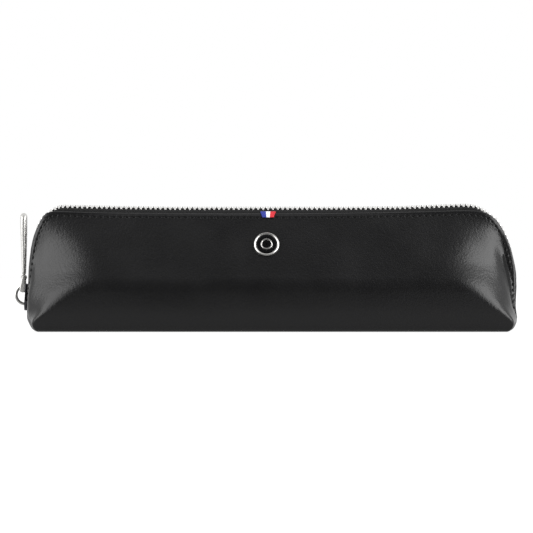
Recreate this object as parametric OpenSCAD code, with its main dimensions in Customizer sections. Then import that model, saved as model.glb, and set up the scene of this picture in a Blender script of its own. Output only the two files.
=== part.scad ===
// Slim zipped pen case: a leather body with boxed base corners, closed by a metal zip
// that climbs the left end, runs along the top and drops down the right end.
// Frame: origin at the middle of the underside, +X along the case, -Y the front, +Z up.

/* [Body] */
// Length over the leather at the two ends
body_len = 200; // [180:1:230]
// Half the width of the case at its belly
belly_half = 19.2; // [18:0.2:26]
// Height of the leather edge beside the zip
edge_h = 48; // [44:0.5:56]
// Half the gap between the two leather edges
edge_gap = 4.6; // [4.4:0.1:5.4]
// Thickness of the body leather
leather_t = 1.3; // [1:0.1:1.5]
// Height at which the wall stops being upright and starts to lean in
belly_h = 13.6; // [9:0.1:16]
// Radius of the soft bend at the belly
belly_r = 12; // [8:1:20]
// Height of the fold where the walls meet the base pan
fold_h = 6; // [5.5:0.5:7]
// Gap that lets the walls turn at that fold
fold_gap = 0.1; // [0.05:0.05:0.2]
// Radius of the turned-up ends of the base
base_end_r = 5; // [3:0.5:5]
// Radius of the long lower edges of the base
base_side_r = 2.5; // [2:0.25:4]

/* [Ends] */
// Height up to which the end edges stay upright
end_upright_h = 19; // [16:1:22]
// Radius of the gentle lean above that height
end_lean_r = 70; // [60:1:90]
// Radius of the top corners of the leather edge
corner_r = 7; // [5:0.5:9]
// Length over which a wall turns the corner at the base ears
ear_len = 7; // [6:0.5:10]
// Greatest length over which a wall curves round to the zip
sweep_len = 38; // [30:1:44]
// Length of that curve at the top edge
top_sweep_len = 20; // [14:1:26]
// Height at which the curve is longest
sweep_h = 28; // [24:1:32]

/* [Lining] */
// Thickness of the lining cloth
lining_t = 0.5; // [0.3:0.1:0.7]
// Gap between the leather and the lining of a wall
lining_gap = 0.5; // [0.5:0.1:0.8]
// Gap of the glue lines of the base board and its lining
glue_gap = 0.1; // [0.05:0.05:0.2]
// Depth below the leather edge at which the lining ends
lining_drop = 4; // [3:0.5:6]
// Thickness of the stiffening board in the base
board_t = 1.2; // [0.8:0.1:1.6]

/* [Zip] */
// Spacing of the teeth along one tape
tooth_pitch = 2; // [1.9:0.05:2.4]
// Height of a tooth through the chain
tooth_h = 2; // [1.8:0.1:2.2]
// Width of the head of a tooth
tooth_head_w = 0.86; // [0.7:0.02:0.86]
// Width of the jaws that grip the tape
tooth_jaw_w = 1.24; // [1:0.02:1.3]
// How far a head reaches past the middle of the chain
tooth_reach = 0.55; // [0.4:0.05:0.6]
// How far the jaws reach from the middle of the chain
tooth_grip = 2.2; // [2:0.05:2.3]
// Clearance between the jaws and each face of the tape
jaw_clear = 0.06; // [0.05:0.01:0.1]
// Thickness of the zip tape
tape_t = 0.5; // [0.4:0.05:0.6]
// How far the tape reaches under the leather edge
tape_tuck = 1.4; // [1:0.1:1.8]
// Height of the chain above the leather edge along the top
chain_rise = 2; // [1.6:0.1:2.4]
// Radius of the chain round the top corners
chain_r = 17; // [15:0.5:18]
// How far the chain lies inside the leather at its lower ends
chain_inset = 1.15; // [1.1:0.05:1.6]
// Angle by which the chain leans in as it climbs the ends
chain_lean = 3.5; // [3:0.25:4]
// Gap between the base leather and the lower ends of the tapes
foot_gap = 0.35; // [0.3:0.05:0.6]
// Height of the crimped stops at the ends of the chain
stop_h = 1.6; // [1.2:0.1:1.8]

/* [Slider] */
// Length of the slider
slider_len = 11; // [10:0.5:12]
// Width of the slider across its nose
slider_w = 7.6; // [7.4:0.1:8]
// Width of the slider at its tail
slider_tail_w = 6.6; // [6.4:0.1:7.2]
// Thickness of each slider plate
plate_t = 1.1; // [0.8:0.1:1.2]
// Running clearance between the slider and the chain
chain_clear = 0.25; // [0.2:0.05:0.3]
// Width of the post that parts the teeth
post_w = 1.3; // [1:0.1:1.3]
// Radius of each rounded flank of that post
post_r = 2.4; // [2:0.1:3]
// Outer radius of the bridge
bridge_r = 4.35; // [4:0.05:4.6]
// Thickness of the bridge at the top of its arch
bridge_t = 0.8; // [0.7:0.05:1]
// Width of the bridge
bridge_w = 2; // [1.6:0.1:2.4]
// How far the bridge sits from the middle of the slider, towards the tail
bridge_up = 1.1; // [0.8:0.1:1.2]

/* [Pull] */
// Length of the pull bar above its pin
bar_len = 26.4; // [18:0.2:30]
// Width of the pull bar at its free end
bar_w = 5.6; // [4.5:0.1:7]
// Width of the pull bar at its eye
bar_neck_w = 4.2; // [3.6:0.1:5]
// Thickness of the pull bar near its free end
bar_t = 2.6; // [2:0.1:2.8]
// Thickness of the pull bar at its eye
bar_neck_t = 1.4; // [1.2:0.1:1.6]
// Distance between the two pins of the link
link_len = 5; // [4.8:0.1:6]
// Angle by which the link leans towards the case
link_lean = 5; // [0:1:8]
// Diameter of the link's cross pins
link_pin = 1; // [0.9:0.05:1.1]
// Inner width of the link
link_w = 3.4; // [3.2:0.1:3.8]
// Thickness of each side of the link
link_side = 0.9; // [0.7:0.1:1]
// Clearance round the pins and beside the eyes
pin_clear = 0.15; // [0.1:0.05:0.2]

/* [Badge and tab] */
// Place of the badge along the case
badge_x = -2; // [-20:0.5:20]
// Height of the middle of the badge
badge_h = 35.2; // [32:0.1:38]
// Diameter of the badge
badge_d = 10.4; // [8:0.2:12]
// Width of the badge's raised rim
bezel_w = 0.95; // [0.8:0.05:1.2]
// Height of the badge's raised rim
bezel_h = 1.1; // [1:0.05:1.3]
// Place of the ribbon tab along the case
tab_x = -1.4; // [-20:0.2:20]
// Width of the ribbon tab at its fold
tab_w = 6.4; // [5:0.2:9]
// Width of the ribbon tab at its lower end
tab_end_w = 4.6; // [4:0.2:6.4]
// Length of the ribbon tab below the leather edge
tab_drop = 1.9; // [1.4:0.1:2.4]
// Height of the ribbon tab above the leather edge
tab_rise = 1; // [0.9:0.1:1.2]
// Thickness of the ribbon
tab_t = 0.45; // [0.3:0.05:0.5]

/* [Hidden] */
$fn = 48;

half_len = body_len / 2;

// ---- The wall surface -------------------------------------------------------------

// The wall leans in at this angle above its belly, so that it ends at the edge gap.
lean_rise = edge_h - belly_h;
lean_in = belly_half - edge_gap;
lean = asin(belly_r / norm([lean_rise, belly_r - lean_in])) - atan2(belly_r - lean_in, lean_rise);
bend_top = belly_h + belly_r * sin(lean);

// Half the width of the case, halfway along it, at height z.
function wall_half(z) =
  z <= belly_h ? belly_half
  : z <= bend_top ? belly_half - belly_r + sqrt(pow(belly_r, 2) - pow(z - belly_h, 2))
  : edge_gap + (edge_h - z) * tan(lean);

// The end edge: upright, then a gentle arc, then the tight arc of the top corner.
lean_cx = half_len - end_lean_r;
corner_cz = edge_h - corner_r;
corner_cx = lean_cx + sqrt(pow(end_lean_r - corner_r, 2) - pow(corner_cz - end_upright_h, 2));
corner_foot = end_upright_h + (corner_cz - end_upright_h) * end_lean_r / (end_lean_r - corner_r);

// Half the length of the leather at its end edge, at height z.
function end_half(z) =
  z <= end_upright_h ? half_len
  : z <= corner_foot ? lean_cx + sqrt(pow(end_lean_r, 2) - pow(z - end_upright_h, 2))
  : corner_cx + sqrt(max(0, pow(corner_r, 2) - pow(z - corner_cz, 2)));

function smooth(t) = let (c = min(1, max(0, t))) c * c * (3 - 2 * c);

// Length over which the wall curves round to the end edge, at height z.
function sweep(z) =
  ear_len
  + (sweep_len - ear_len) * smooth((z - fold_h) / (sweep_h - fold_h))
  - (sweep_len - top_sweep_len) * smooth((z - sweep_h) / (edge_h - sweep_h));

// A point on the front wall. turn runs from 0 at the left end edge to 90 where the wall
// is straight; across then runs from 0 to 1 along the straight stretch; side -1 is the left.
function end_point(z, turn, side) =
  let (e = end_half(z), a = sweep(z), w = wall_half(z))
  [side * (e - a + a * cos(turn)), -(edge_gap + (w - edge_gap) * sin(turn)), z];
function mid_point(z, across) =
  let (run = end_half(z) - sweep(z)) [run * (2 * across - 1), -wall_half(z), z];

// A row is numbered 0 to row_n: an end curve, the straight stretch and the other end curve.
// The places on an end curve lie closer together towards the edge, where it bends most.
turn_n = 9;
mid_n = 5;
row_n = 2 * turn_n + mid_n;
crowding = 1.5;
function turn_at(k, first_turn) = first_turn + (90 - first_turn) * pow(k / turn_n, crowding);
function place_at(turn) = turn_n * pow(turn / 90, 1 / crowding);
function row_point(z, k, first_turn) =
  k <= turn_n ? end_point(z, turn_at(k, first_turn), -1)
  : k < turn_n + mid_n ? mid_point(z, (k - turn_n) / mid_n)
  : end_point(z, turn_at(row_n - k, first_turn), 1);

function unit(v) = v / norm(v);

// The outward normal, taken just inside the edges, where the surface is regular.
// At the top corners it is taken further inside, as the wall is almost flat there.
normal_step = 0.02;
function inside_edge(z) = 0.2 + 2 * smooth((z - corner_cz + 3) / (corner_r + 3));
function row_normal(z, k, first_turn) =
  let (
    zi = min(edge_h - 0.5, max(fold_h + normal_step, z)),
    ki = min(row_n - inside_edge(z), max(inside_edge(z), k)),
    along = row_point(zi, ki + normal_step, first_turn) - row_point(zi, ki - normal_step, first_turn),
    up = row_point(zi + normal_step, ki, first_turn) - row_point(zi - normal_step, ki, first_turn)
  ) unit(cross(along, up));

// Heights of the rows, closer together towards the top corners.
function row_heights(low, high, n) = [for (j = [0:n]) low + (high - low) * sin(90 * j / n)];

// Two triangles for a quad. The two ends of a row are split as each other's mirror image.
function split(q, first) =
  first ? [[q[0], q[1], q[2]], [q[0], q[2], q[3]]] : [[q[0], q[1], q[3]], [q[1], q[2], q[3]]];

// A closed skin on the front wall: its outside lies depth under the leather's outside.
module wall_skin(heights, depth, thickness, first_turn) {
  n = len(heights);
  cols = row_n + 1;
  outside = [for (z = heights) for (k = [0:row_n])
    row_point(z, k, first_turn) - depth * row_normal(z, k, first_turn)];
  inside = [for (z = heights) for (k = [0:row_n])
    row_point(z, k, first_turn) - (depth + thickness) * row_normal(z, k, first_turn)];
  m = n * cols;
  faces = concat(
    [for (j = [0:n - 2]) for (k = [0:row_n - 1]) let (
        a = j * cols + k, b = a + cols) each concat(
      split([a, b, b + 1, a + 1], k < row_n / 2),
      split([m + a + 1, m + b + 1, m + b, m + a], k >= row_n / 2)
    )],
    [for (k = [0:row_n - 1]) each [
      [k, k + 1, m + k + 1], [k, m + k + 1, m + k],
      [(n - 1) * cols + k, m + (n - 1) * cols + k + 1, (n - 1) * cols + k + 1],
      [(n - 1) * cols + k, m + (n - 1) * cols + k, m + (n - 1) * cols + k + 1]
    ]],
    [for (j = [0:n - 2]) each [
      [j * cols, m + j * cols, m + (j + 1) * cols],
      [j * cols, m + (j + 1) * cols, (j + 1) * cols],
      [j * cols + row_n, (j + 1) * cols + row_n, m + (j + 1) * cols + row_n],
      [j * cols + row_n, m + (j + 1) * cols + row_n, m + j * cols + row_n]
    ]]
  );
  polyhedron(concat(outside, inside), faces, convexity = 4);
}

wall_rows = 14;
wall_foot = fold_h + fold_gap;
module wall_leather() {
  color("#222224") wall_skin(row_heights(wall_foot, edge_h, wall_rows), 0, leather_t, 0);
}

lining_rows = 8;
lining_turn = 28;
module wall_lining() {
  color("#2b2b30")
    wall_skin(
      row_heights(fold_h + 1, edge_h - lining_drop, lining_rows),
      leather_t + lining_gap, lining_t, lining_turn
    );
}

// ---- The base pan -----------------------------------------------------------------

// Plan outline of the case at the fold, inset by a distance.
module plan_outline(inset) {
  front = [for (k = [0:row_n]) let (
    p = row_point(fold_h, k, 0) - inset * row_normal(fold_h, k, 0)) [p[0], p[1]]];
  back = [for (k = [row_n:-1:0]) [front[k][0], -front[k][1]]];
  polygon(concat(front, back));
}

// A block whose lower corners are rounded off, drawn with arcs.
module rounded_section(half, r, floor_z, top_z) {
  translate([-half, floor_z + r]) square([2 * half, top_z - floor_z - r]);
  translate([-(half - r), floor_z]) square([2 * (half - r), r]);
  for (s = [-1, 1]) translate([s * (half - r), floor_z + r]) circle(r);
}

module pan_body(inset, top_z) {
  intersection() {
    linear_extrude(top_z) plan_outline(inset);
    translate([0, belly_half + 1, 0]) rotate([90, 0, 0])
      linear_extrude(2 * belly_half + 2)
        rounded_section(half_len - inset, base_end_r - inset, inset, top_z);
    translate([-half_len - 1, 0, 0]) rotate([90, 0, 90])
      linear_extrude(body_len + 2)
        rounded_section(belly_half - inset, base_side_r - min(inset, base_side_r - 0.5), inset, top_z);
  }
}

module base_leather() {
  color("#222224") difference() {
    pan_body(0, fold_h);
    pan_body(leather_t, fold_h + 1);
  }
}

// The board lies on the leather, and the lining cloth on the board.
board_margin = 6;
module board_outline(margin) {
  half_x = half_len - leather_t - margin;
  half_y = belly_half - leather_t - margin / 2;
  r = 4;
  square([2 * half_x, 2 * (half_y - r)], center = true);
  square([2 * (half_x - r), 2 * half_y], center = true);
  for (sx = [-1, 1]) for (sy = [-1, 1])
    translate([sx * (half_x - r), sy * (half_y - r)]) circle(r);
}

module base_board() {
  color("#6b5a45") translate([0, 0, leather_t + glue_gap])
    linear_extrude(board_t) board_outline(board_margin);
}

module base_lining() {
  color("#2b2b30") translate([0, 0, leather_t + 2 * glue_gap + board_t])
    linear_extrude(lining_t) board_outline(board_margin - 1);
}

// ---- The zip ----------------------------------------------------------------------

// The chain's middle line: up the left end, round a corner, along the top and down again.
// It lies between its lower ends, its two bends and the straight top.
tape_foot = fold_h + foot_gap;
chain_foot = tape_foot + stop_h + 0.6;
chain_foot_x = half_len - chain_inset;
chain_z = edge_h + chain_rise;
bend_cz = chain_z - chain_r;
bend_z = bend_cz + chain_r * sin(chain_lean);
function chain_x(z) = chain_foot_x - (z - chain_foot) * tan(chain_lean);
bend_cx = chain_x(bend_z) - chain_r * cos(chain_lean);
end_run = (bend_z - chain_foot) / cos(chain_lean);
bend_run = (90 - chain_lean) * PI / 180 * chain_r;
top_run = 2 * bend_cx;
chain_len = 2 * end_run + 2 * bend_run + top_run;

// [x, z, turn] at a distance along the chain; turn tilts a tooth from its pose on the top.
function mirrored(at) = [-at[0], at[1], -at[2]];
function chain_at(s) =
  s > chain_len / 2 ? mirrored(chain_at(chain_len - s))
  : s < end_run ? let (z = chain_foot + s * cos(chain_lean)) [-chain_x(z), z, chain_lean - 90]
  : s < end_run + bend_run ? let (t = chain_lean + (s - end_run) / chain_r * 180 / PI)
      [-bend_cx - chain_r * cos(t), bend_cz + chain_r * sin(t), t - 90]
  : [s - end_run - bend_run - bend_cx, chain_z, 0];

// Puts its children at a distance along the chain: +X runs along it and +Z points out.
module on_chain(s) {
  at = chain_at(s);
  translate([at[0], 0, at[1]]) rotate([0, at[2], 0]) children();
}

// Distance along the chain of the slider's middle: its nose rests just above the top stops.
stop_gap = 0.5;
slider_s = slider_len / 2 + chain_clear - stop_gap;

// The post stands in the nose of the slider, and the closed teeth begin above it.
post_half_l = sqrt(pow(post_r, 2) - pow(post_r - post_w / 2, 2));
post_s = slider_s - slider_len / 2 + post_half_l + 0.6;
first_tooth = post_s + post_half_l + tooth_head_w / 2 + chain_clear;

// One tooth of the front tape: a head with chamfered corners, and two jaws round the tape.
tape_edge = 1;
module tooth() {
  h = tooth_head_w / 2;
  j = tooth_jaw_w / 2;
  c = 0.14;
  slot = tape_t / 2 + jaw_clear;
  difference() {
    translate([0, 0, -tooth_h / 2]) linear_extrude(tooth_h) polygon([
      [-h, tooth_reach - c], [-h + c, tooth_reach], [h - c, tooth_reach], [h, tooth_reach - c],
      [h, -0.8], [j, -1], [j, -tooth_grip], [-j, -tooth_grip], [-j, -1], [-h, -0.8]
    ]);
    translate([-j - 1, -tooth_grip - 1, -slot])
      cube([2 * j + 2, tooth_grip + 1 - tape_edge + jaw_clear, 2 * slot]);
  }
}

// The teeth of one tape; the other tape's teeth lag half a pitch behind them.
module tooth_row(lag) {
  n = floor((chain_len - first_tooth) / tooth_pitch - lag) + 1;
  color("#d9d9dc") for (k = [0:n - 1]) on_chain(first_tooth + (k + lag) * tooth_pitch) tooth();
}

// A section of the front tape: flat through the jaws, then down under the leather edge.
// (z, k) and (under_z, under_k) are two places on the leather, at its edge and inside it.
tape_clear = 0.25;
tape_flat = tooth_grip + 0.2;
tape_depth = leather_t + tape_clear + tape_t / 2;
function tape_section(at, z, k, under_z, under_k) =
  let (
    out = [sin(at[2]), 0, cos(at[2])],
    edge_n = row_normal(z, k, 0),
    under_n = row_normal(under_z, under_k, 0)
  ) [
    [[at[0], -tape_edge, at[1]], out],
    [[at[0], -tape_flat, at[1]], unit(out + edge_n)],
    [row_point(z, k, 0) - tape_depth * edge_n, edge_n],
    [row_point(under_z, under_k, 0) - tape_depth * under_n, under_n]
  ];

// Where the chain's middle line lies beside the leather's end edge at height z.
function chain_beside(z) =
  z < bend_z ? [-chain_x(z), z, chain_lean - 90]
  : let (t = chain_lean + (90 - chain_lean) * asin((z - bend_z) / (edge_h - bend_z)) / 90)
      [-bend_cx - chain_r * cos(t), bend_cz + chain_r * sin(t), t - 90];

// The tape's hidden edge runs inwards from the end edge, and downwards from the top edge.
// tuck_down is the part of the tuck that points down, at height z.
function tuck_down(z) = smooth(asin(max(0, z - bend_z) / (edge_h - bend_z)) / 45 - 1);
function tuck_place(z, under_z) =
  let (in = end_half(under_z) - end_half(z) + tape_tuck * (1 - tuck_down(z)))
    place_at(min(
      asin(min(1, tape_tuck / max(0.01, wall_half(under_z) - edge_gap))),
      acos(1 - in / sweep(under_z))));
half_tape = [
  for (z = row_heights(tape_foot, edge_h, 2 * wall_rows)) let (u = z - tape_tuck * tuck_down(z))
    tape_section(chain_beside(z), z, 0, u, tuck_place(z, u))];
tape_top_n = 8;
function flip(v) = [-v[0], v[1], v[2]];
top_tape = [for (i = [1:tape_top_n - 1]) let (f = i / tape_top_n)
  tape_section(
    [bend_cx * (2 * f - 1), chain_z, 0], edge_h, row_n * f, edge_h - tape_tuck, row_n * f)];
right_tape = [for (i = [len(half_tape) - 1:-1:0])
  [for (p = half_tape[i]) [flip(p[0]), flip(p[1])]]];
tape_sections = concat(half_tape, top_tape, right_tape);

module zip_tape() {
  n = len(tape_sections);
  ring = 8;
  points = [for (s = tape_sections) each concat(
    [for (i = [0:3]) s[i][0] + tape_t / 2 * s[i][1]],
    [for (i = [3:-1:0]) s[i][0] - tape_t / 2 * s[i][1]])];
  sides = [for (i = [0:n - 2]) for (k = [0:ring - 1]) let (
      a = i * ring + k, b = i * ring + (k + 1) % ring) each [
    [a, a + ring, b + ring], [a, b + ring, b]]];
  cap = [for (i = [0:2]) each [[i, i + 1, 7 - i], [i + 1, 6 - i, 7 - i]]];
  far_cap = [for (f = cap) [for (i = [2:-1:0]) f[i] + (n - 1) * ring]];
  color("#1a1a1c") polyhedron(points, concat(sides, cap, far_cap), convexity = 4);
}

// A crimped stop at the closing end of one tape.
module top_stop() {
  stop_w = 1.2;
  color("#c9c9cc") on_chain(-stop_gap - stop_h / 2) difference() {
    translate([-stop_h / 2, -tape_edge - stop_w + 0.3, -tooth_h / 2 + 0.15])
      cube([stop_h, stop_w, tooth_h - 0.3]);
    translate([-stop_h, -tape_edge - 2 * stop_w, -tape_t / 2 - jaw_clear])
      cube([2 * stop_h, 2 * stop_w + jaw_clear, tape_t + 2 * jaw_clear]);
  }
}

// The bottom stop: two plates on either side of the tapes, joined between them.
stop_clear = 0.3;
module bottom_stop() {
  stop_w = 4.4;
  stop_t = 0.5;
  gap = tape_t / 2 + stop_clear;
  web = 2 * (tape_edge - stop_clear);
  color("#c9c9cc") on_chain(chain_len + stop_gap + stop_h / 2) {
    cube([stop_h, web, 2 * gap + 0.02], center = true);
    for (s = [-1, 1]) translate([0, 0, s * (gap + stop_t / 2)])
      cube([stop_h, stop_w, stop_t], center = true);
  }
}

// ---- Badge and ribbon tab ---------------------------------------------------------

// Puts its children on the front wall, at a height, with local +Z pointing out of it.
module on_wall(x, z) {
  translate([x, -wall_half(z), z]) rotate([90 - lean, 0, 0]) children();
}

badge_r = badge_d / 2;
prong_r = 0.9;
washer_t = 0.35;
dish = 0.3;
module badge_bezel() {
  color("#d9d9dc") on_wall(badge_x, badge_h) {
    rotate_extrude() translate([badge_r - bezel_w, 0]) {
      square([bezel_w, bezel_h - bezel_w / 2]);
      translate([bezel_w / 2, bezel_h - bezel_w / 2]) circle(bezel_w / 2);
    }
    cylinder(h = dish, r = badge_r - bezel_w / 2);
    translate([0, 0, -leather_t - washer_t]) cylinder(h = leather_t + washer_t + 0.1, r = prong_r);
  }
}

disc_t = 0.4;
module badge_disc() {
  color("#0c0c0e") on_wall(badge_x, badge_h)
    translate([0, 0, dish]) cylinder(h = disc_t, r = badge_r - bezel_w - 0.02);
}

module badge_ring() {
  ring_r = badge_r * 0.46;
  color("#d9d9dc") on_wall(badge_x, badge_h) translate([0, 0, dish + disc_t]) difference() {
    cylinder(h = 0.15, r = ring_r);
    translate([0, 0, -1]) cylinder(h = 2, r = ring_r - 0.4);
  }
}

module badge_washer() {
  color("#b5b5b8") on_wall(badge_x, badge_h) translate([0, 0, -leather_t - 0.02 - washer_t])
    difference() {
      cylinder(h = washer_t, r = 2.6);
      translate([0, 0, -1]) cylinder(h = 2, r = prong_r + 0.05);
    }
}

// A ribbon folded over the leather edge: a leg in front, a round fold and a leg behind.
tab_seat = 0.02;
module ribbon_tab() {
  fold_r = (leather_t - 0.2 + tab_t + tab_seat) / 2;
  fold_z = tab_seat + tab_t - fold_r;
  fold_y = tab_rise - fold_r;
  color("white") on_wall(tab_x, edge_h) intersection() {
    translate([-tab_w / 2, 0, 0]) rotate([90, 0, 90]) linear_extrude(tab_w) {
      translate([fold_y, fold_z]) difference() {
        circle(fold_r);
        circle(fold_r - tab_t);
        translate([-2 * fold_r, -fold_r - 1]) square([2 * fold_r, 2 * fold_r + 2]);
      }
      translate([-tab_drop, tab_seat]) square([tab_drop + fold_y, tab_t]);
      translate([tab_seat, fold_z - fold_r]) square([fold_y - tab_seat, tab_t]);
    }
    translate([0, 0, -2 * fold_r]) linear_extrude(4 * fold_r) polygon([
      [-tab_end_w / 2, -tab_drop], [tab_end_w / 2, -tab_drop],
      [tab_w / 2, tab_rise], [-tab_w / 2, tab_rise]
    ]);
  }
}

// ---- Slider and pull --------------------------------------------------------------

plate_low = tooth_h / 2 + chain_clear;
plate_top = plate_low + plate_t;

// The outline of a slider plate: a broad round nose below, tapering to the tail.
module plate_outline() {
  nose_x = -slider_len / 2 + slider_w / 2;
  tail_r = 0.8;
  tail_x = slider_len / 2 - tail_r;
  tail_y = slider_tail_w / 2 - tail_r;
  translate([nose_x, 0]) circle(slider_w / 2);
  for (s = [-1, 1]) translate([tail_x, s * tail_y]) circle(tail_r);
  polygon([
    [nose_x, -slider_w / 2], [tail_x, -slider_tail_w / 2], [tail_x, slider_tail_w / 2],
    [nose_x, slider_w / 2]
  ]);
  translate([nose_x, -tail_y]) square([slider_len / 2 - nose_x, 2 * tail_y]);
}

// A lip along the side of a plate, which holds the teeth in.
lip_gap = tape_t / 2 + 0.3;
lip_w = 0.45;
module slider_lip() {
  translate([-slider_len / 2 + 2.6, slider_tail_w / 2 - lip_w, lip_gap])
    cube([slider_len - 3.4, lip_w, plate_low - lip_gap + 0.2]);
}

module slider_post() {
  translate([post_s - slider_s, 0, -plate_low - 0.2]) linear_extrude(2 * plate_low + 0.4)
    intersection() {
      translate([0, post_w / 2 - post_r]) circle(post_r);
      translate([0, post_r - post_w / 2]) circle(post_r);
    }
}

module slider_body() {
  color("#d9d9dc") on_chain(slider_s) {
    for (s = [0, 1]) mirror([0, 0, s]) {
      translate([0, 0, plate_low]) linear_extrude(plate_t) plate_outline();
      for (m = [0, 1]) mirror([0, m, 0]) slider_lip();
    }
    slider_post();
  }
}

// The bridge: a bent strip that arches over the outer plate and thickens at its feet.
module slider_bridge() {
  color("#d9d9dc") on_chain(slider_s) translate([bridge_up, 0, plate_top])
    rotate([90, 0, 0]) linear_extrude(bridge_w, center = true) difference() {
      circle(bridge_r);
      translate([0, 0.2]) circle(bridge_r - bridge_t - 0.2);
      translate([-bridge_r - 1, -2 * bridge_r]) square([2 * bridge_r + 2, 2 * bridge_r]);
    }
}

// The link hangs its lower pin in the bridge and its upper pin in the eye of the bar.
link_eye_r = 0.85;
link_foot_z = chain_at(slider_s)[1] + bridge_up + 2.1;
link_foot_x = -chain_x(link_foot_z) - plate_top - link_eye_r - 0.3;
link_head_x = link_foot_x + link_len * sin(link_lean);
link_head_z = link_foot_z + link_len * cos(link_lean);

module pull_link() {
  color("#d9d9dc") translate([link_foot_x, 0, link_foot_z]) rotate([0, link_lean, 0]) {
    for (z = [0, link_len]) translate([0, 0, z]) rotate([90, 0, 0])
      cylinder(h = link_w + 0.4, d = link_pin, center = true);
    for (s = [-1, 1]) translate([0, s * (link_w + link_side) / 2, 0]) rotate([90, 0, 0])
      linear_extrude(link_side, center = true) {
        for (z = [0, link_len]) translate([0, z]) circle(link_eye_r);
        translate([-link_eye_r, 0]) square([2 * link_eye_r, link_len]);
      }
  }
}

// The bar: an eye on the upper pin of the link, a neck and a long tapered grip.
eye_r = link_pin / 2 + pin_clear + 0.5;
eye_w = link_w - 2 * pin_clear;
neck_z = link_eye_r + 0.35;
module pull_bar() {
  side = [
    [-bar_neck_t / 2, 0], [-bar_neck_t / 2, neck_z + 1],
    [-bar_t / 2, bar_len - 5], [-bar_t / 2, bar_len - 1.4], [-bar_t / 2 + 0.9, bar_len],
    [0.1, bar_len], [bar_t / 2 - 0.2, bar_len - 1.8], [bar_t / 2, bar_len - 5],
    [bar_neck_t / 2, neck_z + 1], [bar_neck_t / 2, 0]
  ];
  face = [
    [-eye_w / 2, 0], [-eye_w / 2, neck_z], [-bar_neck_w / 2, neck_z + 0.9],
    [-bar_w / 2, bar_len - bar_w / 2], [bar_w / 2, bar_len - bar_w / 2],
    [bar_neck_w / 2, neck_z + 0.9], [eye_w / 2, neck_z], [eye_w / 2, 0]
  ];
  color("#d9d9dc") translate([link_head_x, 0, link_head_z]) difference() {
    union() {
      rotate([90, 0, 0]) cylinder(h = eye_w, r = eye_r, center = true);
      intersection() {
        rotate([90, 0, 0]) linear_extrude(bar_w + 1, center = true) polygon(side);
        rotate([90, 0, 90]) linear_extrude(bar_t + 2, center = true) {
          polygon(face);
          translate([0, bar_len - bar_w / 2]) circle(bar_w / 2);
        }
      }
    }
    rotate([90, 0, 0]) cylinder(h = bar_w, d = link_pin + 2 * pin_clear, center = true);
  }
}

// ---- Assembly ---------------------------------------------------------------------

module at_back() {
  mirror([0, 1, 0]) children();
}

base_leather();
base_board();
base_lining();
bottom_stop();
wall_leather();  // front_leather
wall_lining();  // front_lining
zip_tape();  // front_tape
tooth_row(0);  // front_teeth
top_stop();  // front_top_stop
badge_bezel();
badge_disc();
badge_ring();
badge_washer();
ribbon_tab();
at_back() wall_leather();  // back_leather
at_back() wall_lining();  // back_lining
at_back() zip_tape();  // back_tape
at_back() tooth_row(0.5);  // back_teeth
at_back() top_stop();  // back_top_stop
slider_body();
slider_bridge();
pull_link();
pull_bar();
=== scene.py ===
import bpy
import math
import mathutils
import numpy as np
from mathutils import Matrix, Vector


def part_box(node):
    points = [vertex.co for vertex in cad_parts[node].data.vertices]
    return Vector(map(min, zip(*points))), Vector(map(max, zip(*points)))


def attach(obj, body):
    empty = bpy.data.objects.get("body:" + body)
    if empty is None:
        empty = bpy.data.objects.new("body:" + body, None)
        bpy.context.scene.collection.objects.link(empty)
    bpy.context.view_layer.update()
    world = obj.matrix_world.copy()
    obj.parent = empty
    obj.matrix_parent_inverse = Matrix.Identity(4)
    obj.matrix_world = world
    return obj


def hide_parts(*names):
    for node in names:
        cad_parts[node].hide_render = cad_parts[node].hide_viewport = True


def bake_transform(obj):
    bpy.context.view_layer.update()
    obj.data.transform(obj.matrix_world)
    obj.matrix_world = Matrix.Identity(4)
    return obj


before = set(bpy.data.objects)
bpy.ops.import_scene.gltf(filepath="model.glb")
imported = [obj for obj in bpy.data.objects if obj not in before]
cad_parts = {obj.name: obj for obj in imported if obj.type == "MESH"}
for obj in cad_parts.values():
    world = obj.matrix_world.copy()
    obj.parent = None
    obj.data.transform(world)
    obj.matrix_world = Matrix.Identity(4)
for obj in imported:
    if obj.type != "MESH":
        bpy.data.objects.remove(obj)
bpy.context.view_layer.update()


# ==== The shaped leather ==========================================================
# The case is one skin of black calf, about 1.3 mm thick. It is cut flat, its edge is turned
# and sewn down, and then it is folded: a flat bottom, two bellied sides that lean together at
# the zip, and slanting ends that run down to an ear in each lower corner.
leather_mm = 1.3
fold_mm = 6.0    # height at which the bottom's flank ends and the seams begin
edge_mm = 48.0   # height of the cut edge along the zip
gap_mm = 4.6     # from the case's middle plane to each cut edge
reach_mm = 60.0  # length of each row, from its end, that turns or bends


def ease(t):
    c = np.clip(t, 0, 1)
    return c * c * (3 - 2 * c)


def soften(values, width, times=2):
    """Rounds the corners of a sampled line."""
    half = width // 2
    window = np.ones(2 * half + 1) / (2 * half + 1)
    for _ in range(times):
        left = 2 * values[0] - values[half:0:-1]
        right = 2 * values[-1] - values[-2:-half - 2:-1]
        values = np.convolve(np.concatenate([left, values, right]), window, "valid")
    return values


# How far the side leans at each height, in degrees: under the belly it turns in to the bottom.
heights = np.linspace(0, 53, 531)
row_mm = heights[1] - heights[0]
side_tilt = soften(np.interp(
    heights,
    [0, 0.4, 1.2, 3, 6, 10, 15.4, 18.6, 21.8, 53],
    [-76, -52, -30, -17, -11, -5, 0, 10, 24.9, 24.9]), 9)
steps = np.tan(np.radians(side_tilt)) * row_mm
side_half = np.cumsum(steps[::-1])[::-1]
side_half += gap_mm - np.interp(edge_mm, heights, side_half)

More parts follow.
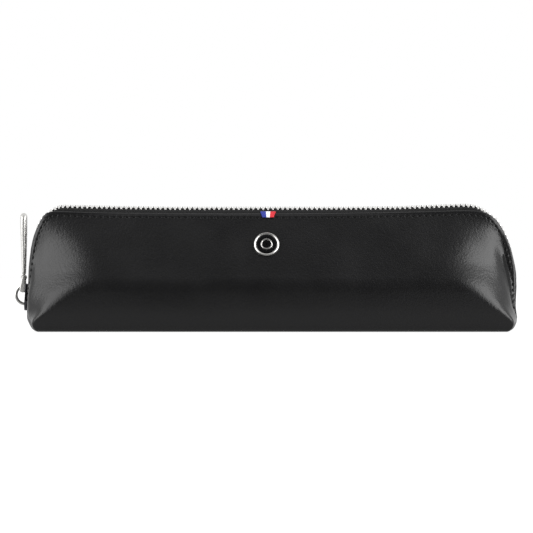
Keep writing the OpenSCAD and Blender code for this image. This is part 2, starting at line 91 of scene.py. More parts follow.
# How far each end reaches at each height. The right end is dented above its ear.
end_reach = {
    -1: soften(np.interp(
        heights,
        [0, 0.4, 1.2, 2.4, 3.6, 4.8, 6, 12, 18.4, 26, 33.5, 38.5, 43.4, 48, 53],
        [96.9, 97.6, 98.4, 99.1, 99.6, 99.8, 99.7, 99.5, 99.4, 99.2, 98.3, 97.2, 95.3, 92.7, 89.9]), 7),
    1: soften(np.interp(
        heights,
        [0, 0.4, 1.2, 2.4, 3.6, 4.8, 7, 10.5, 14, 18.4, 24, 29, 34, 38.5, 43.4, 48, 53],
        [97.6, 98.5, 99.4, 100.1, 100.4, 100.3, 100.0, 99.7, 99.9, 100.2, 99.9, 98.9, 97.7, 96.2, 93.3, 89.9,
         86.0]), 7),
}

# Along each end, the leather turns from facing outwards to facing forwards: how far in from
# the middle line it does so, how softly, and how much more it turns beside the zip.
turn_past = {
    -1: [0.0, 0.0, 0.2, 0.9, 2.3, 4.6, 7.8, 11.4, 13.8, 14.8, 14.4, 12.4, 10.2, 9.2, 8.4],
    1: [0.0, 0.0, 0.0, 0.3, 1.0, 2.8, 5.6, 8.4, 11.0, 13.0, 13.8, 13.2, 12.2, 11.4, 10],
}
turn_heights = [0, 3, 5, 7, 9, 12, 16, 20, 24, 28, 34, 40, 45, 48, 53]
turn_place = {side: side_half + soften(np.interp(heights, turn_heights, turn_past[side]), 19, 3)
              for side in (-1, 1)}
turn_soft = soften(np.interp(heights, [0, 2, 4, 6, 9, 12, 16, 20, 28, 36, 44, 53],
                             [0.4, 0.5, 0.9, 2.0, 4.5, 6.5, 9, 11, 12, 10, 8, 6]), 15)
edge_turn = {
    -1: np.interp(heights, [0, 6, 10, 30, 38, 44, 53], [0, 0, -0.15, -0.2, 0.1, 0.9, 0.9]),
    1: np.interp(heights, [0, 7, 12, 24, 34, 44, 53], [0, 0, 0.3, 0.3, 0.1, 1.0, 1.0])}
# Low down, each end bulges past its seam before it turns: how far, in mm. It turns no further
# than an end face does, a little more in the bulge, and lies square where it is sewn.
cheek = {
    -1: soften(np.interp(heights, [0, 3, 7, 10, 16, 36, 53], [0, 0, 2.0, 2.8, 2.6, 0, 0]), 39, 2),
    1: soften(np.interp(heights, [0, 3, 7, 10, 14, 26, 53], [0, 0, 1.4, 1.8, 1.5, 0, 0]), 39, 2)}
seam_share = ease((heights - 1) / (fold_mm - 1))[:, None]
end_face_turn, bulge_turn, seam_turn, steepest_turn, full_bulge = 84.4, 94, 90, 400.0, 2.8


def limited(turn, in_bulge, in_seam):
    """Keeps a turn, in degrees, within an end face's, and blends in the bulge's and the seam's."""
    turn = np.minimum(end_face_turn, turn)
    turn = turn + in_bulge * (bulge_turn - turn)
    return turn + in_seam * (seam_turn - turn)


along = np.linspace(0, reach_mm, 241)
step_mm = along[1] - along[0]
end_x, end_y = {}, {}
for side in (-1, 1):
    place, soft = turn_place[side][:, None], turn_soft[:, None]
    shape = 1 - ease((along[None, :] - (place - soft)) / (2 * soft))
    shape = shape * (1 + edge_turn[side][:, None] * np.exp(-((along[None, :] - gap_mm) / 4.5) ** 2))
    sewn = seam_share * (along[None, :] < gap_mm)
    bulge = cheek[side][:, None]
    bulged = np.clip(bulge / full_bulge, 0, 1) * (1 - ease((along[None, :] - gap_mm - bulge) / 5))
    # How steeply each row turns is found by halving, so that it meets the side where it should.
    goal = side_half[:, None]
    low, high = np.zeros_like(goal), np.full_like(goal, steepest_turn)
    for _ in range(40):
        half = (low + high) / 2
        turn = limited(half * shape, bulged, sewn)
        gone = np.sum(np.sin(np.radians(turn)), axis=1, keepdims=True) * step_mm
        low, high = np.where(gone < goal, half, low), np.where(gone < goal, high, half)
    turn = limited(low * shape, bulged, sewn)
    run = np.cumsum(np.cos(np.radians(turn)), axis=1) * step_mm
    away = np.cumsum(np.sin(np.radians(turn)), axis=1) * step_mm
    pad = np.zeros((len(heights), 1))
    end_x[side] = np.concatenate([pad, run], axis=1)[:, :-1] - end_reach[side][:, None]
    end_y[side] = np.concatenate([pad, away], axis=1)[:, :-1]
# Length of each row from its middle line at the end to the middle of the case.
half_row = {side: reach_mm - end_x[side][:, -1] for side in (-1, 1)}


def on_side(m, z):
    """The place on the front of a point m from the middle of the case along its row."""
    m, z = np.broadcast_arrays(np.asarray(m, float), np.asarray(z, float))
    out = np.zeros(m.shape + (3,))
    row = np.clip(z / row_mm, 0, len(heights) - 1.001)
    j = row.astype(int)
    f = row - j
    for side in (-1, 1):
        here = (m < 0) if side < 0 else (m >= 0)
        length = (1 - f) * half_row[side][j] + f * half_row[side][j + 1]
        q = np.clip(length - np.abs(m), 0, None)
        col = np.clip(q / step_mm, 0, len(along) - 1.001)
        i = col.astype(int)
        g = col - i
        over = np.clip(q - reach_mm, 0, None)

        def at(table):
            return ((1 - f) * ((1 - g) * table[j, i] + g * table[j, i + 1])
                    + f * ((1 - g) * table[j + 1, i] + g * table[j + 1, i + 1]))
        x = side * -(at(end_x[side]) + over)
        y = -at(end_y[side])
        out[..., 0] = np.where(here, x, out[..., 0])
        out[..., 1] = np.where(here, y, out[..., 1])
    out[..., 2] = z
    return out


def facing(m, z):
    """The direction in which the front faces at that point."""
    inner = m - 0.5 * np.sign(m)
    a = (on_side(inner, z) - on_side(m, z)) * -np.sign(np.where(m == 0, 1, m))[..., None]
    b = on_side(inner, z + 0.3) - on_side(inner, z - 0.3)
    n = np.cross(a, b)
    return n / np.linalg.norm(n, axis=-1, keepdims=True)


# ==== The cut edge ================================================================
# The leather's edge runs up each end, round a corner and along the zip, where it stands a
# little higher at the right. It is turned over and sewn 2 mm in, so that it stands up as a
# soft rim above a line of stitches.
left_corner, right_corner = 6.4, 10  # how far each corner is rounded, in mm


def cut_line():
    """The edge as points (m, z), from the left end's foot to the right end's foot."""
    rise = np.arange(fold_mm, edge_mm + 0.01, 0.25)
    row = rise / row_mm
    left = np.interp(row, np.arange(len(heights)), half_row[-1]) - gap_mm
    right = np.interp(row, np.arange(len(heights)), half_row[1]) - gap_mm
    across = np.linspace(-left[-1], right[-1], 700)[1:-1]
    top = np.interp(across, [-95, -88, -80, -70, -20, 25, 60, 78, 88, 100],
                    [49.2, 49.1, 48.7, 48.3, 48.0, 48.1, 48.7, 49.5, 49.2, 48.3])
    line = np.concatenate([
        np.stack([-left, rise], axis=1),
        np.stack([across, soften(top, 61)], axis=1),
        np.stack([right, rise], axis=1)[::-1]])
    gone = np.concatenate([[0], np.cumsum(np.linalg.norm(np.diff(line, axis=0), axis=1))])
    even = np.linspace(0, gone[-1], 2400)
    line = np.stack([np.interp(even, gone, line[:, k]) for k in (0, 1)], axis=1)
    span = even[1]
    # The left corner is cut to a tighter curve than the right one.
    tight = [soften(line[:, k], int(left_corner / span)) for k in (0, 1)]
    wide = [soften(line[:, k], int(right_corner / span)) for k in (0, 1)]
    part = ease(even / gone[-1] * 3 - 1)
    line = np.stack([(1 - part) * tight[k] + part * wide[k] for k in (0, 1)], axis=1)
    line[[0, -1], 1] = fold_mm
    return line


edge_line = cut_line()
edge_run = np.concatenate([[0], np.cumsum(np.linalg.norm(np.diff(edge_line, axis=0), axis=1))])


slope_height = 0.88  # how much lower a step of 1 mm down the leaning side ends


def beside_edge(run, inset):
    """The point (m, z) that lies inset from the edge, at a distance run along it."""
    run, inset = np.broadcast_arrays(np.asarray(run, float), np.asarray(inset, float))
    point = np.stack([np.interp(run, edge_run, edge_line[:, k]) for k in (0, 1)], axis=-1)
    ahead = np.stack([np.interp(run + 1, edge_run, edge_line[:, k])
                      - np.interp(run - 1, edge_run, edge_line[:, k]) for k in (0, 1)], axis=-1)
    ahead /= np.linalg.norm(ahead, axis=-1, keepdims=True)
    inward = np.stack([ahead[..., 1], -ahead[..., 0] * slope_height], axis=-1)
    # At the foot of each end the lines run down to the fold, so they are set off level.
    level = np.stack([np.sign(ahead[..., 1]) / np.maximum(np.abs(ahead[..., 1]), 0.5),
                      np.zeros(run.shape)], axis=-1)
    far = np.minimum(run, edge_run[-1] - run)
    share = ease(far / 14)[..., None]
    return point + inset[..., None] * (share * inward + (1 - share) * level)


def lay(name, points):
    """A grid of leather or cloth, laid so that its points lie at the given places in mm."""
    rows, cols = points.shape[:2]
    bpy.ops.object.select_all(action="DESELECT")
    bpy.ops.mesh.primitive_grid_add(x_subdivisions=cols - 1, y_subdivisions=rows - 1, size=2)
    made = bpy.context.object
    made.name = made.data.name = name
    flat = np.empty(len(made.data.vertices) * 3)
    made.data.vertices.foreach_get("co", flat)
    flat = flat.reshape(-1, 3)
    col = np.rint((flat[:, 0] + 1) / 2 * (cols - 1)).astype(int)
    row = np.rint((flat[:, 1] + 1) / 2 * (rows - 1)).astype(int)
    made.data.vertices.foreach_set("co", (points[row, col] / 1000).ravel())
    made.data.update()
    return made


def join(name, pieces, merge_mm=0.0):
    """One piece from several, with points closer than merge_mm made one."""
    bpy.ops.object.select_all(action="DESELECT")
    for piece in pieces:
        piece.select_set(True)
    bpy.context.view_layer.objects.active = pieces[0]
    if len(pieces) > 1:
        bpy.ops.object.join()
    made = bpy.context.object
    made.name = made.data.name = name
    if merge_mm:
        bpy.ops.object.mode_set(mode="EDIT")
        bpy.ops.mesh.select_all(action="SELECT")
        bpy.ops.mesh.remove_doubles(threshold=merge_mm / 1000)
        bpy.ops.mesh.normals_make_consistent(inside=False)
        bpy.ops.object.mode_set(mode="OBJECT")
    return made


def pick(piece):
    """Selects one piece and nothing else."""
    bpy.ops.object.select_all(action="DESELECT")
    piece.select_set(True)
    bpy.context.view_layer.objects.active = piece


def finish_with(piece, kind, **settings):
    """Adds a modifier to a piece and applies it."""
    pick(piece)
    made = piece.modifiers.new(kind, kind)
    for key, value in settings.items():
        setattr(made, key, value)
    bpy.ops.object.modifier_apply(modifier=made.name)


# ==== The front and back leather ==================================================
# Each is half of the bottom with its flank and one side. A band beside the cut edge is shaped
# first, then the side within it, and then the flank and bottom below the fold.
stitch_pitch, stitch_inset, first_stitch = 2.65, 1.95, 2.0
rim_insets = np.array([0, 0.1, 0.28, 0.5, 0.8, 1.1, 1.35, 1.55, 1.7, 1.85, 2.0, 2.15, 2.35, 2.65, 3.1, 3.6,
                       4.2])


def rim_height(inset):
    """How far the turned edge stands out, dips at the stitches and then runs level."""
    puff = 0.17 * ease(inset / 1.3) * (1 - ease((inset - 1.5) / 0.45))
    round_off = -0.3 * (1 - np.clip(inset / 0.4, 0, 1)) ** 2
    sewn = -0.14 * np.exp(-((inset - stitch_inset) / 0.26) ** 2)
    return puff + round_off + sewn


def shaped(m, z, inset, more=0.0):
    """A point of the finished leather's outside, with its rim, dents and slight unevenness."""
    base = on_side(m, z)
    out = rim_height(inset) + more
    half = np.where(m < 0, np.interp(z, heights, half_row[-1]), np.interp(z, heights, half_row[1]))
    in_from_end = half - np.abs(m)
    # A long shallow dent runs up the right end from the ear, and a slighter one up the left.
    dent_line = np.interp(z, [6, 8, 12, 16, 20, 28, 36, 44], [7, 7.2, 7.2, 7.6, 8.2, 8.4, 8, 7])
    dent = np.exp(-((in_from_end - dent_line - (m < 0)) / 3.8) ** 2)
    dent = dent * ease((in_from_end - 4.8) / 3) * ease((z - 6) / 6) * (1 - ease((z - 30) / 16))
    out = out - np.where(m > 0, 1.5, 0.35) * dent
    out = out + 0.10 * np.sin(m / 17.0 + 0.8) * np.sin(z / 9.0 + m / 31.0)
    out = out + 0.05 * np.sin(m / 7.3 + z / 5.1)
    return base + out[..., None] * facing(m, z)


run_count = int(edge_run[-1] / (stitch_pitch / 4))
runs = np.linspace(0, edge_run[-1], run_count + 1)
band = beside_edge(runs[None, :], rim_insets[:, None])
inner = band[-1]
# Between two stitches the leather stands up in a little swelling.
swell = 0.10 - 0.16 * np.cos(2 * np.pi * (runs - first_stitch) / stitch_pitch)
swell = swell * ease(np.minimum(runs, edge_run[-1] - runs) / 3)
pucker = swell[None, :] * np.exp(-((rim_insets[:, None] - stitch_inset) / 0.42) ** 2)

# The field within the band is filled from its four sides, with its corners at the bends.
bend = int(np.argmax((inner[:, 1] - inner[:, 0] * 0.9)[: run_count // 3]))
lefts, rights = inner[:bend + 1], inner[run_count - bend:][::-1]
tops = inner[bend:run_count - bend + 1]
u = ((tops[:, 0] - tops[0, 0]) / (tops[-1, 0] - tops[0, 0]))[:, None]
v = ((lefts[:, 1] - lefts[0, 1]) / (lefts[-1, 1] - lefts[0, 1]))[:, None, None]
foots = lefts[0] + (rights[0] - lefts[0]) * u
field = ((1 - v) * foots + v * tops + (1 - u) * lefts[:, None] + u * rights[:, None]
         - (1 - v) * ((1 - u) * lefts[0] + u * rights[0])
         - v * ((1 - u) * lefts[-1] + u * rights[-1]))

# Below the fold the rows also cross the middle of each end, under the zip.
fold_row = int(round(fold_mm / row_mm))
past_left, past_right = half_row[-1][fold_row], half_row[1][fold_row]
fold_m = np.concatenate([
    -past_left + np.array([0, 1.5, 3.1]), band[:-1, 0, 0], field[0, :, 0], band[:-1, -1, 0][::-1],
    past_right - np.array([3.1, 1.5, 0])])
low_heights = [6, 5.8, 5.62, 5.46, 5.3, 5.14, 4.98, 4.8, 4.5, 4.1, 3.6, 3.0, 2.4, 1.9, 1.4, 1.0, 0.65, 0.35,
               0.15, 0]
bottom_draw = 12.0  # how much shorter the bottom is along its middle


def row_below(z):
    """The points of a row of the flank, which closes up under the zip at both ends."""
    share = np.where(fold_m < 0, np.interp(z, heights, half_row[-1]) / past_left,
                     np.interp(z, heights, half_row[1]) / past_right)
    rim = np.minimum(past_left - gap_mm + fold_m, past_right - gap_mm - fold_m)
    inset = np.maximum(rim, 0)
    return shaped(fold_m * share, np.full(len(fold_m), float(z)), inset,
                  -rim_height(inset) * ease((fold_mm - z) / 1.6))


below = np.array([row_below(z) for z in low_heights])
below[..., 1] = np.minimum(below[..., 1], 0)
below[..., 2] = np.maximum(below[..., 2], 0)
below[-1, :, 2] = 0
bottom = []
for part in (0.93, 0.8, 0.6, 0.35, 0.12, 0.0):
    row = below[-1].copy()
    row[:, 1] *= part
    limit = np.abs(below[-1, :, 0]).max() - (1 - part) * bottom_draw
    row[:, 0] = np.clip(row[:, 0], -limit, limit)
    bottom.append(row)
below = np.concatenate([below, bottom])

front = join("leather_front", [
    lay("band", shaped(band[..., 0], band[..., 1], rim_insets[:, None] + 0 * band[..., 0], pucker)),
    lay("field", shaped(field[..., 0], field[..., 1], np.full(field.shape[:2], rim_insets[-1]))),
    lay("below", below)], merge_mm=0.004)
finish_with(front, "SOLIDIFY", thickness=leather_mm / 1000, offset=-1, use_even_offset=False, use_rim=True)
bpy.ops.object.shade_smooth_by_angle(angle=math.radians(50))


def mirrored(piece, name):
    """A copy of a piece on the other side of the case."""
    pick(piece)
    bpy.ops.object.duplicate()
    made = bpy.context.object
    made.name = made.data.name = name
    bpy.ops.transform.resize(value=(1, -1, 1), center_override=(0, 0, 0))
    bpy.ops.object.transform_apply(location=True, rotation=True, scale=True)
    bpy.ops.object.mode_set(mode="EDIT")
    bpy.ops.mesh.select_all(action="SELECT")
    bpy.ops.mesh.flip_normals()
    bpy.ops.object.mode_set(mode="OBJECT")
    return made


back = mirrored(front, "leather_back")
bpy.ops.object.mode_set(mode="EDIT")
bpy.ops.mesh.normals_make_consistent(inside=False)
bpy.ops.object.mode_set(mode="OBJECT")


# ---- Black calf --------------------------------------------------------------------
def linear(hex_code):
    """An sRGB colour such as #1b1b1c as linear red, green, blue and alpha."""
    parts = [int(hex_code[i:i + 2], 16) / 255 for i in (1, 3, 5)]
    return [c / 12.92 if c <= 0.04045 else ((c + 0.055) / 1.055) ** 2.4 for c in parts] + [1.0]


def node(finish, kind, **settings):
    """Adds a node. i0, i1 and so on, or a socket's name, set or link its inputs."""
    made = finish.node_tree.nodes.new(kind)
    for key, value in settings.items():
        if key[0] == "i" and key[1:].isdigit():
            socket = made.inputs[int(key[1:])]
        elif key.replace("_", " ") in made.inputs:
            socket = made.inputs[key.replace("_", " ")]
        else:
            setattr(made, key, value)
            continue
        if isinstance(value, bpy.types.NodeSocket):
            finish.node_tree.links.new(value, socket)
        else:
            socket.default_value = value
    return made


def new_finish(name):
    """A material with no nodes yet."""
    made = bpy.data.materials.new(name)
    made.use_nodes = True
    made.node_tree.nodes.clear()
    return made


def give(finish, shader):
    """Makes a shader the surface of a finish."""
    node(finish, "ShaderNodeOutputMaterial", Surface=shader.outputs[0])


# Smooth black calf with a light wax finish: a fine pebble and small pores under a soft gloss.
calf = new_finish("calf_leather_waxed")
where = node(calf, "ShaderNodeTexCoord")
pebble = node(calf, "ShaderNodeTexVoronoi", feature="SMOOTH_F1", Vector=where.outputs["Object"],
              Scale=1 / 0.0007, Smoothness=0.6)
pores = node(calf, "ShaderNodeTexNoise", Vector=where.outputs["Object"], Scale=1 / 0.0014, Detail=2.0)
folds = node(calf, "ShaderNodeMath", operation="MULTIPLY", i0=pores.outputs["Fac"], i1=1.6)
height = node(calf, "ShaderNodeMath", operation="ADD", i0=pebble.outputs["Distance"], i1=folds.outputs[0])
bump = node(calf, "ShaderNodeBump", Strength=0.5, Distance=0.00007, Height=height.outputs[0])
clouds = node(calf, "ShaderNodeTexNoise", Vector=where.outputs["Object"], Scale=1 / 0.018, Detail=3.0)
sheen_range = node(calf, "ShaderNodeMapRange", i0=clouds.outputs["Fac"], i1=0.3, i2=0.7, i3=0.28, i4=0.34)
skin = node(calf, "ShaderNodeBsdfPrincipled", Base_Color=linear("#0c0c0d"), IOR=1.48,
            Roughness=sheen_range.outputs[0], Normal=bump.outputs[0])
give(calf, skin)
front.data.materials.append(calf)
back.data.materials.append(calf)
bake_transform(front)
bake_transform(back)
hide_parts("front_leather", "base_leather")
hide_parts("back_leather")


# ==== Zip tapes ===================================================================
# Two black woven polyester tapes, 0.5 mm thick. Each is clamped in the jaws of its teeth and
# runs under the turned edge of the leather, where the stitches hold it.
tape_mm, tape_wide, tape_tail, tape_points = 0.5, 10.5, 2.2, 420
roof_slope = math.radians(22)
# The chain of teeth leans in up each end, turns the corner and runs along the top.
pitch_mm, chain_bend, chain_lean = 2.0, 11.0, math.radians(3.5)
chain_foot, chain_top, chain_half = 8.55, 50.0, 98.85
bend_z = chain_top - chain_bend + chain_bend * math.sin(chain_lean)


def chain_reach(z):
    """How far out the chain runs at a height, before its corner."""
    return chain_half - (z - chain_foot) * math.tan(chain_lean)


bend_x = chain_reach(bend_z) - chain_bend * math.cos(chain_lean)
end_run = (bend_z - chain_foot) / math.cos(chain_lean)
bend_run = (math.pi / 2 - chain_lean) * chain_bend
chain_run = 2 * end_run + 2 * bend_run + 2 * bend_x


def chain_place(s):
    """x, z and turn, in radians, at a distance along the closed chain from the slider's end."""
    s = np.asarray(s, float)
    near = np.minimum(s, chain_run - s)
    sign = np.where(s > chain_run / 2, -1.0, 1.0)
    rising, bending = near < end_run, near < end_run + bend_run
    z_up = chain_foot + near * math.cos(chain_lean)
    bent = chain_lean + np.clip(near - end_run, 0, bend_run) / chain_bend
    x = np.where(rising, -chain_reach(z_up), np.where(
        bending, -bend_x - chain_bend * np.cos(bent), near - end_run - bend_run - bend_x))
    z = np.where(rising, z_up, np.where(
        bending, bend_z - chain_bend * math.sin(chain_lean) + chain_bend * np.sin(bent), chain_top))
    turn = np.where(rising, chain_lean - math.pi / 2, np.where(bending, bent - math.pi / 2, 0))
    x, turn = x * sign, turn * sign
    # The chain rises with the leather's edge towards the right, and a little at the left.
    lift = np.interp(x, [-92, -85, -76, -62, -40, 25, 52, 66, 79, 83, 87, 91],
                     [0.3, 0.8, 0.6, 0.3, 0, 0, 0.2, 0.8, 1.25, 0.8, -0.5, -1.2])
    # Round the corners and down the ends it sinks below the edge, more so at the right.
    sunk = np.interp(z, [9, 23, 33, 39, 44, 50], [-0.4, -0.9, -0.2, 1.2, 2.1, 2.2]) * ease((x - 84) / 8)
    sunk = sunk - 1.2 * ease((z - 32) / 9) * ease((-x - 84) / 8)
    return x - sunk, z + lift * ease((z - 30) / 14), turn


def edge_beside(s):
    """The distance along the leather's edge that lies beside that point of the chain."""
    # The edge's first and last points climb the ends, and those between them run along the top.
    foot, climb, top = 300, 900, slice(700, -700)
    z, z_back, run_back = edge_line[:, 1], edge_line[::-1, 1], edge_run[-1] - edge_run[::-1]
    left_foot = np.interp(chain_foot, z[:foot], edge_run[:foot])
    left_bend = edge_run[np.searchsorted(z[:climb], bend_z)]
    right_bend = edge_run[len(z) - climb + np.searchsorted(-z[-climb:], -bend_z)]
    right_foot = edge_run[-1] - np.interp(chain_foot, z_back[:foot], run_back[:foot])
    knots = [(0, left_foot), (end_run, left_bend), (chain_run - end_run, right_bend),
             (chain_run, right_foot)]
    at_edge = on_side(edge_line[:, 0], z)
    for x in (-bend_x, -40, 0, 40, bend_x):
        knots.append((end_run + bend_run + bend_x + x, np.interp(x, at_edge[top, 0], edge_run[top])))
    knots = np.array(sorted(knots))
    return np.interp(s, knots[:, 0], knots[:, 1])


def under_edge(run, inset, depth):
    """Points under the leather, at an inset from its edge and a depth below its outside."""
    place = beside_edge(run, np.full(run.shape, float(inset)))
    return on_side(place[:, 0], place[:, 1]) - depth * facing(place[:, 0], place[:, 1])


# Each tape runs on a little below the chain at both ends.
tape_at = np.linspace(-tape_tail, chain_run + tape_tail, tape_points)
on_chain = np.clip(tape_at, 0, chain_run)
before, after = np.minimum(tape_at, 0), np.maximum(tape_at - chain_run, 0)
tape_x, tape_z, tape_turn = chain_place(on_chain)
tape_z = tape_z + before - after
out_x, out_z = np.sin(tape_turn), np.cos(tape_turn)
tape_run = soften(edge_beside(on_chain), 15) + before + after
hidden = leather_mm + tape_mm / 2 + 0.12
ribs = [np.stack([tape_x - out_x * y * math.tan(roof_slope), np.full(len(tape_x), -y),
                  tape_z - out_z * y * math.tan(roof_slope)], axis=1) for y in (1.0, 1.7, 2.4)]
lips = under_edge(tape_run, 0.35, hidden)
for part in (0.3, 0.55, 0.8):
    sag = 0.12 * math.sin(math.pi * part)
    rib = ribs[2] + (lips - ribs[2]) * part
    rib[:, 0] -= out_x * sag
    rib[:, 2] -= out_z * sag
    ribs.append(rib)
ribs += [lips] + [under_edge(tape_run, inset, hidden) for inset in (1.2, 2.6, 4.6)]
tape_front = lay("tape_front", np.array(ribs))


def cloth_map(piece, length, width):
    """Makes the piece's UV map count in metres, along and across the cloth."""
    layer = piece.data.uv_layers[0].data
    flat = np.empty(len(layer) * 2)
    layer.foreach_get("uv", flat)
    layer.foreach_set("uv", (flat.reshape(-1, 2) * (length / 1000, width / 1000)).ravel())


def tube(name, rings):
    """A closed skin over a row of rings, each of which ends where it begins."""
    made = lay(name, np.array(rings))
    bpy.ops.object.mode_set(mode="EDIT")
    bpy.ops.mesh.select_all(action="SELECT")
    bpy.ops.mesh.remove_doubles(threshold=0.000002)
    bpy.ops.mesh.fill_holes(sides=0)
    bpy.ops.mesh.normals_make_consistent(inside=False)
    bpy.ops.object.mode_set(mode="OBJECT")
    bpy.ops.object.shade_smooth_by_angle(angle=math.radians(45))
    return made


# The tape's inner edge is woven round a cord, which the jaws grip.
cord_at = np.linspace(0, chain_run, tape_points)
cord_x, cord_z, cord_turn = chain_place(cord_at)
cord_rings = []
for part in np.linspace(0, 2 * math.pi, 13):
    across, up = -1.1 + 0.6 * math.cos(part), -0.36 + 0.68 * math.sin(part)
    cord_rings.append(np.stack([cord_x + np.sin(cord_turn) * up, np.full(len(cord_x), across),
                                cord_z + np.cos(cord_turn) * up], axis=1))
cord = tube("cord", np.array(cord_rings).transpose(1, 0, 2))
cloth_map(cord, 4, chain_run)
cloth_map(tape_front, chain_run, tape_wide)
finish_with(tape_front, "SOLIDIFY", thickness=tape_mm / 1000, offset=0)
bpy.ops.object.shade_smooth_by_angle(angle=math.radians(50))
tape_front = join("tape_front", [tape_front, cord])


# Woven polyester: a fine matt weave, with ribs 0.45 mm apart running across the tape. A wave
# texture repeats every 2 * pi / 20 at a scale of 1.
wave = 2 * math.pi / 20
weave = new_finish("woven_polyester_black")
cloth = node(weave, "ShaderNodeUVMap")
warp = node(weave, "ShaderNodeTexWave", wave_type="BANDS", bands_direction="X", Vector=cloth.outputs[0],
            Scale=wave / 0.00045, Distortion=0.4, Detail=1.0)
weft = node(weave, "ShaderNodeTexWave", wave_type="BANDS", bands_direction="Y", Vector=cloth.outputs[0],
            Scale=wave / 0.0006, Distortion=0.4, Detail=1.0)
crossing = node(weave, "ShaderNodeMath", operation="MULTIPLY", i0=warp.outputs["Fac"], i1=weft.outputs["Fac"])
thread_tone = node(weave, "ShaderNodeMix", data_type="RGBA", i0=crossing.outputs[0],
                   i6=linear("#050506"), i7=linear("#0d0d0e"))
thread_bump = node(weave, "ShaderNodeBump", Strength=0.6, Distance=0.00012, Height=crossing.outputs[0])
polyester = node(weave, "ShaderNodeBsdfPrincipled", Base_Color=thread_tone.outputs[2], Roughness=0.9,
                 Normal=thread_bump.outputs[0])
give(weave, polyester)
tape_front.data.materials.append(weave)
tape_back = mirrored(tape_front, "tape_back")
for piece, wall, solid in ((tape_front, "front_wall", "front_tape"), (tape_back, "back_wall", "back_tape")):
    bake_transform(piece)
    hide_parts(solid)


# ==== Zip teeth ===================================================================
# Nickel-plated teeth of a size 3 zip, 2 mm apart on each tape. A tooth is a punched bar whose
# two jaws are squeezed round the edge of the tape, and whose head hooks between its neighbours.
first_tooth = 4.315  # from the chain's left foot
bpy.ops.object.select_all(action="DESELECT")
bpy.ops.mesh.primitive_cube_add(size=1, location=(0, -0.75, 0))
tooth = bpy.context.object
tooth.scale = (1.0, 2.7, 1.9)
bpy.ops.object.transform_apply(location=True, rotation=True, scale=True)
bpy.ops.object.mode_set(mode="EDIT")
bpy.ops.mesh.select_all(action="SELECT")
bpy.ops.mesh.subdivide(number_cuts=2)
bpy.ops.object.mode_set(mode="OBJECT")
rows_y = sorted({round(point.co.y, 3) for point in tooth.data.vertices})
for point in tooth.data.vertices:
    row = rows_y.index(round(point.co.y, 3))
    point.co.y = (-2.1, -1.0, -0.62, 0.6)[row]
    point.co.x *= (0.56, 1.38, 0.86, 0.72)[row]
    point.co.z *= (0.62, 1.0, 1.0, 0.84)[row]
finish_with(tooth, "BEVEL", width=0.16, segments=2, limit_method="ANGLE", angle_limit=math.radians(35))
tooth.rotation_euler = (roof_slope, 0, 0)
bpy.ops.object.transform_apply(location=True, rotation=True, scale=True)


def strung(name, shape, places):
    """Copies of a shape, each turned and put in its place, as one piece."""
    base = np.empty(len(shape.data.vertices) * 3)
    shape.data.vertices.foreach_get("co", base)
    base = base.reshape(-1, 3)
    faces = [tuple(face.vertices) for face in shape.data.polygons]
    points, loops = [], []
    for origin, axes in places:
        loops += [tuple(index + len(base) * len(points) for index in face) for face in faces]
        points.append(base @ np.array(axes).T + origin)
    mesh = bpy.data.meshes.new(name)
    mesh.from_pydata((np.concatenate(points) / 1000).tolist(), [], loops)
    made = bpy.data.objects.new(name, mesh)
    bpy.context.scene.collection.objects.link(made)
    pick(made)
    bpy.ops.object.shade_smooth_by_angle(angle=math.radians(35))
    return made


def tooth_places(start, way):
    """Where each tooth of a tape sits, with way 1 on the front tape and -1 on the back one."""
    x, z, turn = chain_place(np.arange(start, chain_run, pitch_mm))
    places = []
    for k in range(len(x)):
        c, s = math.cos(turn[k]), math.sin(turn[k])
        places.append(((x[k], 0, z[k]), [[way * c, 0, s], [0, way, 0], [-way * s, 0, c]]))
    return places


teeth_front = strung("teeth_front", tooth, tooth_places(first_tooth, 1))
teeth_back = strung("teeth_back", tooth, tooth_places(first_tooth + pitch_mm / 2, -1))
bpy.data.objects.remove(tooth)


def plated(name, colour, patch_mm, detail, smooth, rough):
    """A metal plate whose roughness goes from smooth to rough in patches of about patch_mm."""
    plate = new_finish(name)
    where = node(plate, "ShaderNodeTexCoord")
    patches = node(plate, "ShaderNodeTexNoise", Vector=where.outputs["Object"],
                   Scale=1000 / patch_mm, Detail=detail)
    roughness = node(plate, "ShaderNodeMapRange", i0=patches.outputs["Fac"], i1=0.3, i2=0.7,
                     i3=smooth, i4=rough)
    metal = node(plate, "ShaderNodeBsdfPrincipled", Base_Color=linear(colour), Metallic=1.0,
                 Roughness=roughness.outputs[0])
    give(plate, metal)
    return plate


# Nickel plate over brass: polished bright, and slightly uneven from the punching.
nickel = plated("nickel_plate_polished", "#e4e3e1", patch_mm=1.2, detail=2.0, smooth=0.16, rough=0.28)
for piece, wall, solid in ((teeth_front, "front_wall", "front_teeth"),
                           (teeth_back, "back_wall", "back_teeth")):
    piece.data.materials.append(nickel)
    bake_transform(piece)
    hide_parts(solid)


# ==== Stitches ====================================================================
# Waxed black polyester thread, about 0.55 mm thick, in straight stitches 2.65 mm apart. They
# sink into the leather at both ends, and hold the turned edge and the tape.
stitch_half, thread_half_wide, thread_half_high = 0.9, 0.30, 0.26
bpy.ops.object.select_all(action="DESELECT")
bpy.ops.mesh.primitive_uv_sphere_add(segments=8, ring_count=8, radius=1, location=(0, 0, 0))
stitch = bpy.context.object
stitch.rotation_euler = (0, math.pi / 2, 0)
bpy.ops.object.transform_apply(location=True, rotation=True, scale=True)
for point in stitch.data.vertices:
    reach = point.co.x
    point.co.x = stitch_half * reach
    point.co.y *= thread_half_wide
    point.co.z = point.co.z * thread_half_high + 0.10 - 0.42 * abs(reach) ** 3


